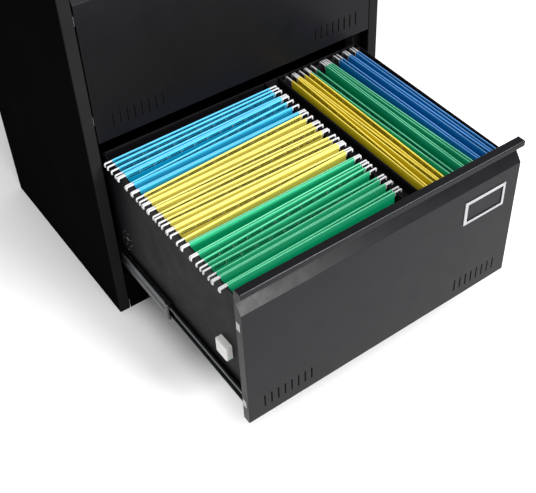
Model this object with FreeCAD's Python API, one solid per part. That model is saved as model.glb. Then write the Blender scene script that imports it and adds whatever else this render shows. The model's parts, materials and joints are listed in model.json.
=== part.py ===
import FreeCAD, Part
import math
import os

# Two-drawer lateral filing cabinet in bent sheet steel, in millimetres.
# +X is the cabinet's right seen from its front, -Y is the way the drawers open, +Z is up.
# The origin is on the floor, under the middle of the closed cabinet's footprint.
# The lower drawer stands fully open and carries hanging folders; the upper one is closed.

V = FreeCAD.Vector

# Carcass
CAB_W = 625.0
CAB_D = 455.0
CAB_H = 752.0
SHEET = 1.2
BEND_R = 0.9
STILE_W = 21.7
STILE_RETURN = 19.0
REAR_FLANGE = 14.0
TOP_H = 24.5
SEAM = 0.1
KICK_H = 89.0
FLOOR_Z = 78.0

# Base frame and levelling glides
RING_W = 40.0
RING_LEG = 25.5
RING_T = 1.5
GLIDE_PAD_R = 14.0
GLIDE_STEM_R = 4.0
GLIDE_HOLE_R = 15.5

# Drawers
DRAWER_FLOORS = {"lower": 92.0, "upper": 409.5}
DRAWER_OPEN = {"lower": 419.0, "upper": 0.0}
FACE_W = 577.5
FACE_FLAT = 266.5
GROOVE_DEPTH = 14.4
GROOVE_H = 285.4
LIP_PROUD = 2.0
LIP_FOOT_H = 304.6
LIP_H = 315.0
LIP_BACK = 15.0
FRONT_FLANGE = 17.0
SLOT_COUNT = 8
SLOT_FIRST = 32.0
SLOT_PITCH = 13.56
SLOT_LOW = 22.0
SLOT_HIGH = 50.7
SLOT_W = 3.2
TRAY_W = 556.0
TRAY_BACK = 442.0
TRAY_LOW = 14.0
TRAY_TOP = 278.0
HEM = 2.6

# Label holder, nylon block and bumper pads on each drawer
LABEL_X = 210.7
LABEL_H = 213.0
LABEL_SIZE = (94.5, 52.0)
LABEL_BAR = 5.8
LABEL_PROUD = 2.0
BLOCK_D = (54.0, 86.0)
BLOCK_H = (108.0, 140.0)
BLOCK_X = 290.0
PAD_T = 0.9
PADS_H = ((37.0, 53.0), (228.0, 245.0))

# Ball-bearing slides, measured from the drawer's side outwards
SLIDE_H = 48.0
OUTER_FRONT = 21.0
OUTER_LEN = 414.0
MIDDLE_FRONT = 49.5
MIDDLE_LEN = 330.0
INNER_FRONT = 20.0
INNER_LEN = 415.0
OUTER_HALF = 22.5
MIDDLE_HALF = 18.0
INNER_HALF = 13.0
STOP_LEN = 9.0
SCREW_HEAD = 1.4

# Inner side frames
POST_X = 292.0
FRONT_POST = (48.0, 74.0)
REAR_POST = (400.0, 426.0)

# Hanging rails in a drawer
DIVIDER_X = (58.8, 92.4)
DIVIDER_DEEP = 26.0
BACK_RAIL_D = 425.0
FRONT_RAIL_D = 30.0
RAIL_T = 3.0

# Hanging folders: where the two rods of each folder lie, from the back or the right forwards.
# Each rod is given at both of its ends, since the folders have been pushed a little askew.
# In the left bay a rod is placed by its distance behind the drawer's face, at its left end
# and its right end; in the right bay by its distance to the right of the middle, at its
# front end and its back end.
LEFT_PAIRS = {
    "blue": (
        ((412.0, 418.8), (401.5, 410.8)), ((388.0, 402.0), (374.6, 386.0)),
        ((367.6, 382.0), (364.6, 379.0)), ((340.6, 365.4), (337.0, 347.8)),
        ((321.0, 329.2), (318.2, 326.2)),
    ),
    "yellow": (
        ((303.0, 319.6), (292.8, 305.5)), ((284.6, 288.9), (281.6, 284.6)),
        ((269.0, 275.0), (265.2, 260.5)), ((249.6, 256.9), (243.3, 239.2)),
        ((231.7, 228.9), (222.8, 217.2)), ((209.6, 213.4), (206.6, 209.8)),
        ((196.1, 195.0), (177.2, 190.6)),
    ),
    "green": (
        ((164.8, 171.0), (162.0, 167.4)), ((138.9, 152.8), (135.6, 146.7)),
        ((120.0, 138.3), (108.9, 126.7)), ((100.6, 106.3), (85.6, 100.0)),
        ((77.0, 86.8), (74.2, 83.9)), ((57.2, 68.3), (54.2, 61.1)),
    ),
}
RIGHT_PAIRS = {
    "yellow": (
        ((107.7, 116.4), (103.3, 102.9)), ((131.7, 122.0), (121.7, 119.2)),
        ((145.7, 145.2), (134.7, 133.4)),
    ),
    "green": (
        ((167.7, 161.1), (159.4, 148.0)), ((191.7, 187.3), (187.3, 182.5)),
        ((212.8, 196.0), (206.9, 191.2)),
    ),
    "blue": (
        ((229.3, 223.2), (224.3, 215.7)), ((253.7, 243.2), (245.7, 238.2)),
        ((266.9, 262.1), (258.2, 256.2)),
    ),
}
# Along each bay: the outer ends of the hooks, then the ends of the card between them.
LEFT_BAY = (-290.5, 71.5, -274.6, 55.5)
RIGHT_BAY = (21.5, 433.0, 37.0, 412.5)
HOOK_T = 2.0
HOOK_TIP = 3.0
HOOK_TOP = 3.2
HOOK_ARM = 2.9
HOOK_DROP = 5.5
HOOK_ROOT = 2.2
ROD_T = 1.0
ROD_LOW = 8.0
ROD_HIGH = 2.6
HEM_T = 2.2
HEM_HIGH = 4.0
HEM_GAP = 0.15
FOLDER_LOW = 38.0

# Lock and interlock
LOCK_X = 268.0
LOCK_COLLAR_R = 10.5
LOCK_BARREL_R = 8.5
LOCK_PLUG_R = 6.0
LOCK_GAP = 0.05
CAM_LEN = 22.0
CATCH_X = (258.0, 276.0)
CATCH_D = 29.8
BAR_X = (-309.0, -297.0)
BAR_D = (26.0, 38.0)

FRONT = -CAB_D / 2
HALF_W = CAB_W / 2
FACE_HALF = FACE_W / 2
TRAY_HALF = TRAY_W / 2
OPENING_HALF = HALF_W - STILE_W
BODY_TOP = CAB_H - TOP_H - SEAM
SIDES = {"left": -1, "right": 1}


def block(x0, x1, y0, y1, z0, z1):
    low = V(min(x0, x1), min(y0, y1), min(z0, z1))
    return Part.makeBox(abs(x1 - x0), abs(y1 - y0), abs(z1 - z0), low)


def join(shapes):
    solid = shapes[0]
    for shape in shapes[1:]:
        solid = solid.fuse(shape)
    return solid.removeSplitter()


def mirrored(shape):
    return shape.mirror(V(0, 0, 0), V(1, 0, 0))


def on_side(shape, side):
    """A shape drawn on the right, or its mirror image on the left."""
    return shape if side > 0 else mirrored(shape)


def save(name, *shapes):
    solids = []
    for shape in shapes:
        solids += shape.Solids
    for solid in solids:
        if not solid.isValid() or solid.Volume <= 0:
            print("CHECK", name, solid.isValid(), solid.Volume)
    whole = solids[0] if len(solids) == 1 else Part.makeCompound(solids)
    whole.exportStep("parts/" + name + ".step")


def offset_side(points, half, radius):
    """One side of a bent strip: its corners as (start, middle, end) arcs, or single points."""
    side = []
    last = len(points) - 1
    for i, point in enumerate(points):
        before = (points[i] - points[i - 1]).normalize() if i > 0 else None
        after = (points[i + 1] - points[i]).normalize() if i < last else None
        if before is None or after is None:
            along = after if before is None else before
            side.append([point + V(-along.y, along.x, 0) * half])
            continue
        turn = math.atan2(before.cross(after).z, before.dot(after))
        hand = 1 if turn > 0 else -1
        reach = radius * math.tan(abs(turn) / 2)
        into = V(-before.y, before.x, 0) * hand
        out = V(-after.y, after.x, 0) * hand
        centre = point - before * reach + into * radius
        size = radius - hand * half
        middle = (into + out).normalize()
        side.append([centre - into * size, centre - middle * size, centre - out * size])
    return side


def bent_outline(points, thick, bend):
    """The closed outline of a sheet bent along a line of (u, v) points."""
    path = [V(u, v, 0) for u, v in points]
    radius = bend + thick / 2
    corners = offset_side(path, thick / 2, radius)
    corners += [c[::-1] for c in offset_side(path, -thick / 2, radius)[::-1]]
    return corners


def bent_sheet(points, plane, start, length, thick=SHEET, bend=BEND_R):
    """A sheet bent in one plane ("xy", "yz" or "xz") and extruded along the third axis."""
    lift = {
        "xy": lambda p: V(p.x, p.y, start),
        "yz": lambda p: V(start, p.x, p.y),
        "xz": lambda p: V(p.x, start, p.y),
    }[plane]
    along = {"xy": V(0, 0, length), "yz": V(length, 0, 0), "xz": V(0, length, 0)}[plane]
    corners = [[lift(p) for p in corner] for corner in bent_outline(points, thick, bend)]
    edges = []
    for i, corner in enumerate(corners):
        if len(corner) == 3:
            edges.append(Part.Arc(*corner).toShape())
        following = corners[(i + 1) % len(corners)][0]
        edges.append(Part.LineSegment(corner[-1], following).toShape())
    return Part.Face(Part.Wire(edges)).extrude(along)


def plate(points, plane, start, length):
    """A flat polygon extruded along the third axis."""
    lift = {
        "xy": lambda u, v: V(u, v, start),
        "yz": lambda u, v: V(start, u, v),
        "xz": lambda u, v: V(u, start, v),
    }[plane]
    along = {"xy": V(0, 0, length), "yz": V(length, 0, 0), "xz": V(0, length, 0)}[plane]
    corners = [lift(u, v) for u, v in points]
    return Part.Face(Part.makePolygon(corners + corners[:1])).extrude(along)


# Carcass

def side_panel(side):
    """Outer wall with the front stile, its return and a rear flange, bent from one sheet."""
    mid = SHEET / 2
    wall = HALF_W - mid
    path = [
        (OPENING_HALF + mid, FRONT + STILE_RETURN),
        (OPENING_HALF + mid, FRONT + mid),
        (wall, FRONT + mid),
        (wall, -FRONT - mid),
        (wall - REAR_FLANGE, -FRONT - mid),
    ]
    return on_side(bent_sheet(path, "xy", 0, BODY_TOP, bend=1.4), side)


def back_panel():
    """Flat sheet with a stiffening flange turned forward along its head."""
    back = -FRONT - SHEET - SEAM - SHEET / 2
    path = [(back, 1), (back, CAB_H - 8), (back - REAR_FLANGE, CAB_H - 8)]
    half = HALF_W - SHEET - 1.6
    return bent_sheet(path, "yz", -half, 2 * half)


def lock_hole(radius):
    centre = V(LOCK_X, FRONT - 5, CAB_H - TOP_H / 2)
    return Part.makeCylinder(radius, 30, centre, V(0, 1, 0))


def top_panel():
    """A shallow pan turned over the carcass, with the lock's hole in its front flange."""
    outer = block(-HALF_W, HALF_W, FRONT, -FRONT, CAB_H - TOP_H, CAB_H)
    upper = [e for e in outer.Edges if e.BoundBox.ZMax > CAB_H - TOP_H + 1]
    outer = outer.makeFillet(2.2, upper)
    inset = SHEET
    inner = block(-HALF_W + inset, HALF_W - inset, FRONT + inset, -FRONT - inset,
                  CAB_H - TOP_H - 1, CAB_H - SHEET)
    return outer.cut(inner).cut(lock_hole(LOCK_BARREL_R + SEAM))


def floor_panel():
    """The cabinet's floor, a pan with its front and rear edges turned down."""
    half = OPENING_HALF - 0.6
    front = FRONT + STILE_RETURN + 2
    back = -FRONT - 2 * SHEET - 1
    path = [(front, FLOOR_Z - 16), (front, FLOOR_Z), (back, FLOOR_Z), (back, FLOOR_Z - 16)]
    return bent_sheet(path, "yz", -half, 2 * half)


def kick_plate():
    """The toe board between the stiles, with its top edge turned back."""
    half = OPENING_HALF - 1.5
    mid = SHEET / 2
    path = [(FRONT + mid, 0), (FRONT + mid, KICK_H - mid), (FRONT + 18, KICK_H - mid)]
    path.append((FRONT + 18, KICK_H - 10))
    return bent_sheet(path, "yz", -half, 2 * half)


def glide_places():
    inset = RING_W / 2
    half = OPENING_HALF - 0.6 - inset
    front = FRONT + STILE_RETURN + 2 + inset
    back = -FRONT - 4 - inset
    return [V(x, y, 0) for x in (-half, half) for y in (front, back)]


def ring(outer_x, front, back, inset, low, high):
    outer = block(-outer_x, outer_x, front, back, low, high)
    hole_x = outer_x - inset
    return outer.cut(block(-hole_x, hole_x, front + inset, back - inset, low - 1, high + 1))


def base_frame():
    """An upward-open channel welded into a ring, bridged by a plate at each corner."""
    outer_x = OPENING_HALF - 0.6
    front = FRONT + STILE_RETURN + 2
    back = -FRONT - 4
    outer_leg = ring(outer_x, front, back, RING_T, 0, RING_LEG)
    inner_leg = ring(outer_x - RING_W + RING_T, front + RING_W - RING_T,
                     back - RING_W + RING_T, RING_T, 0, RING_LEG)
    parts = [ring(outer_x, front, back, RING_W, 0, RING_T), outer_leg, inner_leg]
    half = RING_W / 2
    for place in glide_places():
        parts.append(block(place.x - half, place.x + half, place.y - half, place.y + half,
                           RING_LEG - RING_T, RING_LEG))
    frame = join(parts)
    for place in glide_places():
        frame = frame.cut(Part.makeCylinder(GLIDE_HOLE_R, RING_T + 2, place - V(0, 0, 1)))
        stem_hole = Part.makeCylinder(GLIDE_STEM_R + 0.3, 10, place + V(0, 0, RING_LEG - 5))
        frame = frame.cut(stem_hole)
    return frame


def levelling_glide(place):
    """A round foot on a threaded stem, with the nut that rests on its corner plate."""
    pad = Part.makeCylinder(GLIDE_PAD_R, 6, place)
    pad = pad.makeFillet(1.5, [e for e in pad.Edges if len(e.Vertexes) == 1 and e.Vertexes[0].Z > 5])
    stem = Part.makeCylinder(GLIDE_STEM_R, 40, place + V(0, 0, 5))
    corners = [(7.5 * math.cos(math.radians(60 * i)), 7.5 * math.sin(math.radians(60 * i)))
               for i in range(6)]
    nut = plate([(place.x + x, place.y + y) for x, y in corners], "xy", RING_LEG + 0.1, 6)
    return join([pad, stem, nut])


def channel_post(depth, low, high):
    """An upright channel, open towards the cabinet's outer wall."""
    mid = SHEET / 2
    front = FRONT + depth[0] + mid
    back = FRONT + depth[1] - mid
    wall = HALF_W - SHEET - SEAM
    path = [(wall, front), (POST_X + mid, front), (POST_X + mid, back), (wall, back)]
    return bent_sheet(path, "xy", low, high - low)


def inner_frame(side):
    """Two uprights and two ties, welded, that carry the fixed members of the slides."""
    parts = [channel_post(depth, 0, BODY_TOP - 2) for depth in (FRONT_POST, REAR_POST)]
    for low in (30.0, BODY_TOP - 40.0):
        parts.append(block(POST_X, POST_X + 2, FRONT + FRONT_POST[1] - 3,
                           FRONT + REAR_POST[0] + 3, low, low + 25))
    frame = on_side(join(parts), side)
    if side < 0:
        frame = join([frame] + [bar_guide(height) for height in (96.0, 640.0)])
    return frame


def bar_guide(height):
    """A tab on the left front upright with a slot that guides the interlock bar."""
    tab = block(BAR_X[0] - 2, BAR_X[1] + 2.6, FRONT + BAR_D[0] - 3, FRONT + FRONT_POST[0] + 1,
                height, height + 2)
    slot = block(BAR_X[0] - 0.5, BAR_X[0] + 4, FRONT + BAR_D[0] - 0.5, FRONT + BAR_D[1] + 0.5,
                 height - 1, height + 3)
    return tab.cut(slot)


def interlock_bar():
    """The lifting bar behind the left stile, with a lug over each drawer's nylon block."""
    parts = [block(BAR_X[0], BAR_X[0] + 3, FRONT + BAR_D[0], FRONT + BAR_D[1], 60, BODY_TOP - 30)]
    for level in DRAWER_FLOORS.values():
        low = level + BLOCK_H[1] + 2
        parts.append(block(BAR_X[0], BAR_X[1] + 3, FRONT + BAR_D[0], FRONT + BAR_D[1],
                           low, low + 14))
    return join(parts)


def lock_barrel():
    """The lock's fixed body: a collar on the flange and a barrel behind it."""
    axis = V(0, 1, 0)
    height = CAB_H - TOP_H / 2
    collar = Part.makeCylinder(LOCK_COLLAR_R, 2, V(LOCK_X, FRONT - 2, height), axis)
    collar = collar.makeFillet(0.8, [e for e in collar.Edges if e.BoundBox.YMax < FRONT - 1.5])
    barrel = Part.makeCylinder(LOCK_BARREL_R, 22, V(LOCK_X, FRONT - 1, height), axis)
    bore = Part.makeCylinder(LOCK_PLUG_R + LOCK_GAP, 40, V(LOCK_X, FRONT - 10, height), axis)
    return join([collar, barrel]).cut(bore)


def lock_plug():
    """The turning plug with its keyway."""
    height = CAB_H - TOP_H / 2
    plug = Part.makeCylinder(LOCK_PLUG_R, 25, V(LOCK_X, FRONT - 1.6, height), V(0, 1, 0))
    keyway = block(LOCK_X - 0.7, LOCK_X + 0.7, FRONT - 3, FRONT + 12, height - 4, height + 4)
    return plug.cut(keyway)


def lock_cam():
    """The cam on the plug's rear end, lying level while the lock is open."""
    height = CAB_H - TOP_H / 2
    near = FRONT + 23.4
    arm = block(LOCK_X - CAM_LEN, LOCK_X, near, near + 2.5, height - 6, height + 6)
    hub = Part.makeCylinder(7.5, 2.5, V(LOCK_X, near, height), V(0, 1, 0))
    return join([arm, hub])


# Slides. Each member is drawn on the right, in the drawer's own place.

def slide_member(profile, front, length, level, thick=SHEET, bend=0.6):
    """A member of a slide: its profile in X and Z, lengthwise along Y."""
    centre = DRAWER_FLOORS[level] + SLIDE_H
    path = [(x, centre + z) for x, z in profile]
    return bent_sheet(path, "xz", FRONT + front, length, thick, bend)


def outer_slide(level, side):
    """The fixed member, screwed to the inner frame's uprights."""
    base = POST_X - SHEET / 2
    half = OUTER_HALF - SHEET / 2
    profile = [(281.6, half), (base, half), (base, -half), (281.6, -half)]
    return on_side(slide_member(profile, OUTER_FRONT, OUTER_LEN, level), side)


def middle_slide(level, side):
    """The middle member, with a bead along its web."""
    half = MIDDLE_HALF - SHEET / 2
    web = 288.9
    bead = 287.5
    upper = [(280.8, half), (web, half), (web, 3.4), (bead, 2.0)]
    profile = upper + [(x, -z) for x, z in upper[::-1]]
    front = MIDDLE_FRONT - DRAWER_OPEN[level] / 2
    return on_side(slide_member(profile, front, MIDDLE_LEN, level, bend=0.3), side)


def end_stop(level, side):
    """The plastic stop on the middle member's front end, open where the inner one passes."""
    front = FRONT + MIDDLE_FRONT - DRAWER_OPEN[level] / 2
    centre = DRAWER_FLOORS[level] + SLIDE_H
    body = block(280.6, 290.1, front - STOP_LEN, front, centre - 21, centre + 18.4)
    passage = block(270, 287.0, front - STOP_LEN - 1, front + 1, centre - 14.2, centre + 14.2)
    body = body.cut(passage)
    nose = [e for e in body.Edges if e.BoundBox.YMax < front - STOP_LEN + 0.1]
    nose = [e for e in nose if e.BoundBox.XMin > 289.9]
    return on_side(body.makeChamfer(2.0, nose), side)


def inner_slide(level, side):
    """The member on the drawer's side, with two ridges that the balls run against."""
    half = INNER_HALF - SHEET / 2
    base = TRAY_HALF + SHEET / 2
    upper = [(286.2, half - 3), (286.2, half), (282.4, half), (281.0, half - 3.4), (base, half - 5)]
    profile = upper + [(x, -z) for x, z in upper[::-1]]
    front = INNER_FRONT - DRAWER_OPEN[level]
    member = slide_member(profile, front, INNER_LEN, level, bend=0.2)
    member = on_side(member, side)
    for hole in screw_cylinders(level, side, 2.3, -3, 8):
        member = member.cut(hole)
    return member


def screw_cylinders(level, side, radius, start, length):
    """Cylinders on the slide screws' axes, from inside the drawer's side outwards."""
    height = DRAWER_FLOORS[level] + SLIDE_H
    shapes = []
    for depth in (70.0, 228.0, 386.0):
        y = FRONT + depth - DRAWER_OPEN[level]
        foot = V(side * (TRAY_HALF - SHEET + start), y, height)
        shapes.append(Part.makeCylinder(radius, length, foot, V(side, 0, 0)))
    return shapes


def slide_screws(level, side):
    """Pan-head screws that hold the inner member to the drawer's side."""
    heads = screw_cylinders(level, side, 4.2, -SCREW_HEAD, SCREW_HEAD)
    shanks = screw_cylinders(level, side, 2.1, -1, 4.6)
    screws = []
    for head, shank in zip(heads, shanks):
        reach = TRAY_HALF - SHEET - SCREW_HEAD + 0.2
        inner = [e for e in head.Edges if max(abs(e.BoundBox.XMin), abs(e.BoundBox.XMax)) < reach]
        screws.append(join([head.makeFillet(0.7, inner), shank]))
    return screws


# Drawer pieces, drawn with the face on y = 0, its foot on z = 0, then moved into place

def placed(shape, level):
    return shape.translated(V(0, FRONT - DRAWER_OPEN[level], DRAWER_FLOORS[level]))


def vent_slots():
    radius = SLOT_W / 2
    low = SLOT_LOW + radius
    high = SLOT_HIGH - radius
    slots = []
    for i in range(SLOT_COUNT):
        x = FACE_HALF - SLOT_FIRST - i * SLOT_PITCH
        slot = block(x - radius, x + radius, -1, 3, low, high)
        for z in (low, high):
            slot = slot.fuse(Part.makeCylinder(radius, 4, V(x, -1, z), V(0, 1, 0)))
        slots += [slot, mirrored(slot)]
    return slots


def drawer_front():
    """The outer pan: flat face, finger groove and rolled lip from one sheet, with end flanges."""
    mid = SHEET / 2
    face = [
        (FRONT_FLANGE, mid),
        (mid, mid),
        (mid, FACE_FLAT),
        (GROOVE_DEPTH, GROOVE_H),
        (-LIP_PROUD + mid, LIP_FOOT_H),
        (-LIP_PROUD + mid, LIP_H - mid),
        (LIP_BACK - mid, LIP_H - mid),
        (LIP_BACK - mid, LIP_H - 14),
    ]
    pan = bent_sheet(face, "yz", -FACE_HALF, FACE_W)
    end = [
        (0.9, 0.2), (FRONT_FLANGE, 0.2), (FRONT_FLANGE, LIP_H - 14), (LIP_BACK - 0.2, LIP_H - 1.6),
        (-LIP_PROUD + 1.6, LIP_H - 0.6), (-LIP_PROUD + 0.4, LIP_H - 1.6),
        (-LIP_PROUD + 0.4, LIP_FOOT_H), (GROOVE_DEPTH + 0.3, GROOVE_H), (0.4, FACE_FLAT), (0.4, 0.9),
    ]
    flanges = [on_side(plate(end, "yz", FACE_HALF - SHEET, SHEET), s) for s in SIDES.values()]
    pan = join([pan] + flanges)
    for slot in vent_slots():
        pan = pan.cut(slot)
    return pan


def front_inner(level):
    """The inner skin that closes the back of the front pan, with its foot turned forward."""
    mid = SHEET / 2
    near = FRONT_FLANGE + SEAM + mid
    half = TRAY_HALF - 2.0
    wall = [(near, 6), (near, 300)]
    skin = bent_sheet(wall, "yz", -half, 2 * half)
    parts = [skin, block(-half, half, 4, near, 6, 6 + SHEET)]
    if level == "upper":
        parts.append(block(*CATCH_X, near, CATCH_D + SHEET, 300 - SHEET, 300))
        parts.append(block(*CATCH_X, CATCH_D, CATCH_D + SHEET, 300 - SHEET, 313))
    return join(parts)


def drawer_side(side):
    """A side wall: foot flange, wall and a folded top edge that the folder hooks hang on."""
    mid = SHEET / 2
    wall = TRAY_HALF - mid
    path = [
        (wall - 14, TRAY_LOW + mid),
        (wall, TRAY_LOW + mid),
        (wall, TRAY_TOP - mid),
        (wall - HEM + SHEET, TRAY_TOP - mid),
        (wall - HEM + SHEET, TRAY_TOP - 14),
    ]
    front = FRONT_FLANGE + 2 * SEAM + SHEET
    return on_side(bent_sheet(path, "xz", front, TRAY_BACK - front, bend=0.05), side)


def drawer_bottom():
    """The tray's floor, laid on the side walls' foot flanges, with its ends turned up."""
    mid = SHEET / 2
    level = TRAY_LOW + SHEET + SEAM + mid
    front = FRONT_FLANGE + 2 * SEAM + SHEET + mid
    back = TRAY_BACK - 2 * SHEET - SEAM - mid
    half = TRAY_HALF - 2 * SHEET - 2 * SEAM
    path = [(front, level + 12), (front, level), (back, level), (back, level + 12)]
    return bent_sheet(path, "yz", -half, 2 * half)


def drawer_back():
    """The rear wall with side flanges turned forward inside the side walls."""
    mid = SHEET / 2
    half = TRAY_HALF - SHEET - SEAM - mid
    rear = TRAY_BACK - mid
    path = [(-half, rear - 12), (-half, rear), (half, rear), (half, rear - 12)]
    low = TRAY_LOW + 2 * SHEET + 2 * SEAM
    hem_trim = TRAY_TOP - 16 - low
    wall = bent_sheet(path, "xy", low, hem_trim)
    upper = block(-half + HEM, half - HEM, rear - mid, rear + mid, low + hem_trim - 1, TRAY_TOP)
    return join([wall, upper])


def hanging_frame():
    """The fore-and-aft channel between the bays, with a cross rail at each end of the right one."""
    mid = SHEET / 2
    left = DIVIDER_X[0] + mid
    right = DIVIDER_X[1] - mid
    low = TRAY_TOP - DIVIDER_DEEP
    front = FRONT_FLANGE + 2 * SEAM + SHEET
    back = TRAY_BACK - SHEET - SEAM
    path = [
        (left + 1.6, TRAY_TOP - 9), (left + 1.6, TRAY_TOP - mid), (left, TRAY_TOP - mid),
        (left, low), (right, low), (right, TRAY_TOP - mid), (right - 1.6, TRAY_TOP - mid),
        (right - 1.6, TRAY_TOP - 9),
    ]
    channel = bent_sheet(path, "xz", front, back - front, bend=0.1)
    end = TRAY_HALF - HEM - SEAM
    rails = [block(right, end, depth, depth + RAIL_T, TRAY_TOP - 20, TRAY_TOP)
             for depth in (FRONT_RAIL_D, BACK_RAIL_D)]
    return join([channel] + rails)


def label_holder():
    """A mitred frame that stands proud of the face, with a slot behind it for a card."""
    wide, tall = LABEL_SIZE[0] / 2, LABEL_SIZE[1] / 2
    outer = block(LABEL_X - wide, LABEL_X + wide, -LABEL_PROUD, 0, LABEL_H - tall, LABEL_H + tall)
    outer = outer.makeChamfer(0.9, [e for e in outer.Edges if e.BoundBox.YMax < -LABEL_PROUD + 0.1])
    wide, tall = wide - LABEL_BAR, tall - LABEL_BAR
    window = block(LABEL_X - wide, LABEL_X + wide, -9, 9, LABEL_H - tall, LABEL_H + tall)
    wide, tall = wide + 3, tall + 3
    card = block(LABEL_X - wide, LABEL_X + wide, -0.8, 0.1, LABEL_H - tall, LABEL_H + tall + 20)
    return outer.cut(window).cut(card)


def interlock_block():
    """The white nylon block near the front of the drawer's left side."""
    body = block(-BLOCK_X, -TRAY_HALF, BLOCK_D[0], BLOCK_D[1], BLOCK_H[0], BLOCK_H[1])
    outer = [e for e in body.Edges if e.BoundBox.XMin < -BLOCK_X + 0.1]
    return body.makeFillet(2.4, outer)


def front_pads():
    """Thin bumper pads on the end flanges of the front."""
    pads = []
    for side in SIDES.values():
        for low, high in PADS_H:
            near = side * FACE_HALF
            pads.append(block(near, near + side * PAD_T, 5.5, 14.5, low, high))
    return pads


# Hanging folders, in the lower drawer

def hook_outline(edge, inward, root, foot):
    """A hook over a rail: a level arm, a short turned-down tip outside and a foot at its root."""
    tip = edge + inward * HOOK_TIP
    neck = root - inward * HOOK_ROOT
    top = TRAY_TOP + HOOK_TOP
    under = top - HOOK_ARM
    low = TRAY_TOP - HOOK_DROP
    return [
        (root, foot), (neck, foot), (neck, under), (tip, under),
        (tip, low), (edge + inward * 0.8, low), (edge, low + 1.5), (edge, top - 2.2),
        (edge + inward * 2.2, top), (root, top),
    ]


def bay_point(bay, along, across, height=0.0):
    if bay is LEFT_BAY:
        return V(along, across, height)
    return V(across, along, height)


def folder_rod(bay, place):
    """A flat steel rod with a coated hook at each end, turned to lie through both its places."""
    start, end, card_start, card_end = bay
    foot = bay_point(bay, start, place[0])
    head = bay_point(bay, end, place[1])
    length = foot.distanceToPoint(head)
    stretch = length / (end - start)
    near = (card_start - start) * stretch - 0.3
    far = (card_end - start) * stretch + 0.3
    low = TRAY_TOP - ROD_LOW
    near_foot = TRAY_TOP + HOOK_TOP - HOOK_ARM - 0.1 if bay is LEFT_BAY else low
    hooks = [hook_outline(0, 1, near, near_foot), hook_outline(length, -1, far, low)]
    parts = [plate(outline, "xz", -HOOK_T / 2, HOOK_T) for outline in hooks]
    parts.append(block(near - 0.3, far + 0.3, -ROD_T / 2, ROD_T / 2, low, TRAY_TOP + ROD_HIGH))
    rod = join(parts)
    turn = math.degrees(math.atan2(head.y - foot.y, head.x - foot.x))
    rod.rotate(V(0, 0, 0), V(0, 0, 1), turn)
    return rod.translated(foot)


def card_section(near, far):
    """A folder's cross-section: a wedge with a hem folded over each of its two rods."""
    middle = (near + far) / 2
    half = HEM_T / 2
    gap = ROD_T / 2 + HEM_GAP
    low = TRAY_TOP - ROD_LOW - 1.0
    slit = low + 0.3
    high = TRAY_TOP + HEM_HIGH
    roof = TRAY_TOP + ROD_HIGH + 0.2
    return [
        (middle - 0.8, FOLDER_LOW), (near - half, low - 3), (near - half, high),
        (near + half, high), (near + half, slit), (near + gap, slit), (near + gap, roof),
        (near - gap, roof), (near - gap, low), (far + gap, low), (far + gap, roof),
        (far - gap, roof), (far - gap, slit), (far - half, slit), (far - half, high),
        (far + half, high), (far + half, low - 3), (middle + 0.8, FOLDER_LOW),
    ]


def folder_card(bay, pair):
    """A folder's card, drawn between its cross-sections at the two ends."""
    start, end, card_start, card_end = bay
    wires = []
    for along in (card_start, card_end):
        share = (along - start) / (end - start)
        far, near = [place[0] + (place[1] - place[0]) * share for place in pair]
        corners = [bay_point(bay, along, across, height)
                   for across, height in card_section(near, far)]
        wires.append(Part.makePolygon(corners + corners[:1]))
    return Part.makeLoft(wires, True, True)


def save_folders():
    for bay_name, bay, pairs in (("left", LEFT_BAY, LEFT_PAIRS), ("right", RIGHT_BAY, RIGHT_PAIRS)):
        rods = []
        for colour, folders in pairs.items():
            cards = [placed(folder_card(bay, pair), "lower") for pair in folders]
            save(bay_name + "_" + colour + "_folders", *cards)
            rods += [placed(folder_rod(bay, place), "lower") for pair in folders for place in pair]
        save(bay_name + "_folder_rods", *rods)


def save_carcass():
    for name, side in SIDES.items():
        save(name + "_side_panel", side_panel(side))
        save(name + "_inner_frame", inner_frame(side))
    save("back_panel", back_panel())
    save("top_panel", top_panel())
    save("cabinet_floor", floor_panel())
    save("kick_plate", kick_plate())
    save("base_frame", base_frame())
    save("levelling_glides", *[levelling_glide(place) for place in glide_places()])
    save("interlock_bar", interlock_bar())
    save("lock_barrel", lock_barrel())
    save("lock_plug", lock_plug())
    save("lock_cam", lock_cam())


def save_drawer(level):
    prefix = level + "_drawer_"
    save(prefix + "front", placed(drawer_front(), level))
    save(prefix + "front_inner", placed(front_inner(level), level))
    save(prefix + "bottom", placed(drawer_bottom(), level))
    save(prefix + "back", placed(drawer_back(), level))
    save(prefix + "hanging_frame", placed(hanging_frame(), level))
    save(prefix + "label_holder", placed(label_holder(), level))
    save(prefix + "interlock_block", placed(interlock_block(), level))
    save(prefix + "front_pads", *[placed(pad, level) for pad in front_pads()])
    screws = []
    for name, side in SIDES.items():
        wall = placed(drawer_side(side), level)
        for hole in screw_cylinders(level, side, 2.3, -3, 8):
            wall = wall.cut(hole)
        save(prefix + name + "_side", wall)
        save(level + "_" + name + "_inner_slide", inner_slide(level, side))
        save(level + "_" + name + "_middle_slide", middle_slide(level, side))
        save(level + "_" + name + "_end_stop", end_stop(level, side))
        save(level + "_" + name + "_outer_slide", outer_slide(level, side))
        screws += slide_screws(level, side)
    save(prefix + "screws", *screws)


os.makedirs("parts", exist_ok=True)
save_carcass()
for drawer_level in DRAWER_FLOORS:
    save_drawer(drawer_level)
save_folders()
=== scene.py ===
"""Two-drawer lateral filing cabinet, lower drawer open with hanging folders: looks, light and camera."""

import json
import math
import random

import bmesh
import bpy
from mathutils import Matrix, Vector


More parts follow.
